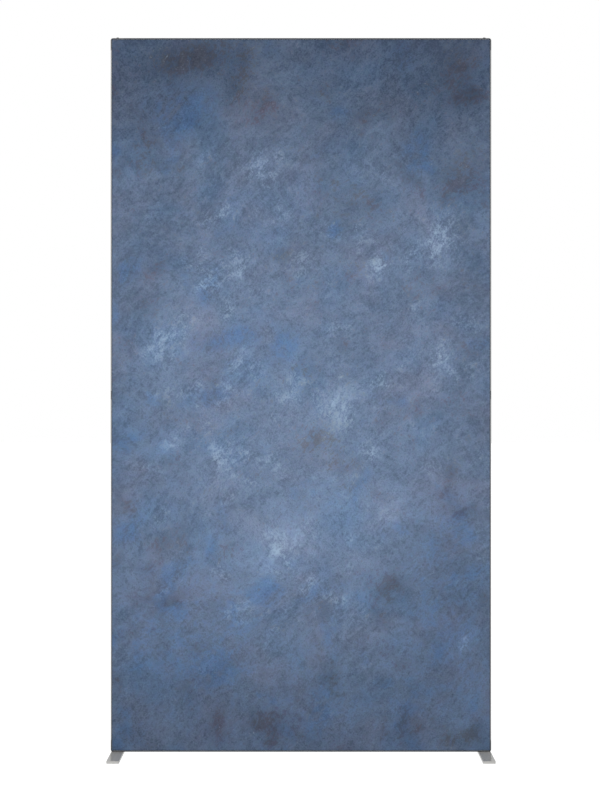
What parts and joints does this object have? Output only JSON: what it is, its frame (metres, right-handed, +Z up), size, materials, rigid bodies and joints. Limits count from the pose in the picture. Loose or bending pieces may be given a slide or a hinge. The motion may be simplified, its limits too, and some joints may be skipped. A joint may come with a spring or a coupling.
{
  "type": "partition wall",
  "caption": "Free-standing partition wall: plug-together aluminium frame with a stretched printed fabric face and flat bar feet.",
  "frame": {"origin": "on the floor, midway between the feet and midway through their length", "axes": "+X to the right along the wall, +Y from the fabric face to the open back, +Z up"},
  "size_m": [1.2192, 0.4, 2.3002],
  "materials": {
    "fabric": "matt printed polyester knit",
    "silicone": "translucent white silicone",
    "aluminium": "satin anodised",
    "connector": "fine moulded texture, dark grey",
    "foot": "bright brushed plate",
    "steel": "plated",
    "spring": "spring steel",
    "brass": "turned",
    "rubber": "matt black"
  },
  "bodies": {
    "frame": {"fabric_face": "fabric", "cross_brace": "aluminium", "upright_lower_left": "aluminium", "upright_upper_left": "aluminium", "joiner_left": "connector", "lock_spring_left": "spring", "foot_screw_left": "steel", "foot_bush_left": "brass", "frame_screw_joiner_left": "steel", "edge_strip_left": "silicone", "snap_spring_lower_left": "spring", "snap_spring_upper_left": "spring", "snap_spring_brace_left": "spring", "corner_bottom_left": "connector", "frame_screw_bottom_left": "steel", "corner_top_left": "connector", "frame_screw_top_left": "steel", "upright_lower_right": "aluminium", "upright_upper_right": "aluminium", "joiner_right": "connector", "lock_spring_right": "spring", "foot_screw_right": "steel", "foot_bush_right": "brass", "frame_screw_joiner_right": "steel", "edge_strip_right": "silicone", "snap_spring_lower_right": "spring", "snap_spring_upper_right": "spring", "snap_spring_brace_right": "spring", "corner_bottom_right": "connector", "frame_screw_bottom_right": "steel", "corner_top_right": "connector", "frame_screw_top_right": "steel", "rail_bottom": "aluminium", "edge_strip_bottom": "silicone", "rail_top": "aluminium", "edge_strip_top": "silicone"},
    "foot_left": {"foot_plate_left": "foot", "foot_pad_front_left": "rubber", "foot_pad_back_left": "rubber"},
    "top_lock_left": {"lock_button_left": "steel", "lock_rod_left": "steel"},
    "latch_left": {"latch_pin_left": "steel"},
    "snap_lower_left": {"snap_button_lower_left": "steel"},
    "snap_upper_left": {"snap_button_upper_left": "steel"},
    "snap_brace_left": {"snap_button_brace_left": "steel"},
    "foot_right": {"foot_plate_right": "foot", "foot_pad_front_right": "rubber", "foot_pad_back_right": "rubber"},
    "top_lock_right": {"lock_button_right": "steel", "lock_rod_right": "steel"},
    "latch_right": {"latch_pin_right": "steel"},
    "snap_lower_right": {"snap_button_lower_right": "steel"},
    "snap_upper_right": {"snap_button_upper_right": "steel"},
    "snap_brace_right": {"snap_button_brace_right": "steel"}
  },
  "joints": [
    {"name": "foot_swivel_left", "type": "hinge", "parent": "frame", "child": "foot_left", "pos_m": [-0.5886, 0, 0.0053], "axis": [0, 0, 1], "range_deg": [-90, 90]},
    {"name": "lock_press_left", "type": "slide", "parent": "frame", "child": "top_lock_left", "axis": [0, 0, -1], "range_m": [0, 0.004], "stiffness_N_per_m": 900, "springref_m": -0.004, "deforming": ["lock_spring_left"]},
    {"name": "latch_draw_left", "type": "slide", "parent": "frame", "child": "latch_left", "axis": [0, -1, 0], "range_m": [0, 0.004]},
    {"name": "snap_press_lower_left", "type": "slide", "parent": "frame", "child": "snap_lower_left", "axis": [0, -1, 0], "range_m": [0, 0.004], "stiffness_N_per_m": 1500, "springref_m": -0.002, "deforming": ["snap_spring_lower_left"]},
    {"name": "snap_press_upper_left", "type": "slide", "parent": "frame", "child": "snap_upper_left", "axis": [0, -1, 0], "range_m": [0, 0.004], "stiffness_N_per_m": 1500, "springref_m": -0.002, "deforming": ["snap_spring_upper_left"]},
    {"name": "snap_press_brace_left", "type": "slide", "parent": "frame", "child": "snap_brace_left", "axis": [0, -1, 0], "range_m": [0, 0.004], "stiffness_N_per_m": 1500, "springref_m": -0.002, "deforming": ["snap_spring_brace_left"]},
    {"name": "foot_swivel_right", "type": "hinge", "parent": "frame", "child": "foot_right", "pos_m": [0.5886, 0, 0.0053], "axis": [0, 0, 1], "range_deg": [-90, 90]},
    {"name": "lock_press_right", "type": "slide", "parent": "frame", "child": "top_lock_right", "axis": [0, 0, -1], "range_m": [0, 0.004], "stiffness_N_per_m": 900, "springref_m": -0.004, "deforming": ["lock_spring_right"]},
    {"name": "latch_draw_right", "type": "slide", "parent": "frame", "child": "latch_right", "axis": [0, -1, 0], "range_m": [0, 0.004]},
    {"name": "snap_press_lower_right", "type": "slide", "parent": "frame", "child": "snap_lower_right", "axis": [0, -1, 0], "range_m": [0, 0.004], "stiffness_N_per_m": 1500, "springref_m": -0.002, "deforming": ["snap_spring_lower_right"]},
    {"name": "snap_press_upper_right", "type": "slide", "parent": "frame", "child": "snap_upper_right", "axis": [0, -1, 0], "range_m": [0, 0.004], "stiffness_N_per_m": 1500, "springref_m": -0.002, "deforming": ["snap_spring_upper_right"]},
    {"name": "snap_press_brace_right", "type": "slide", "parent": "frame", "child": "snap_brace_right", "axis": [0, -1, 0], "range_m": [0, 0.004], "stiffness_N_per_m": 1500, "springref_m": -0.002, "deforming": ["snap_spring_brace_right"]}
  ],
  "couplings": [
    {"joint": "latch_draw_left", "follows": "lock_press_left", "ratio": 1},
    {"joint": "latch_draw_right", "follows": "lock_press_right", "ratio": 1}
  ]
}
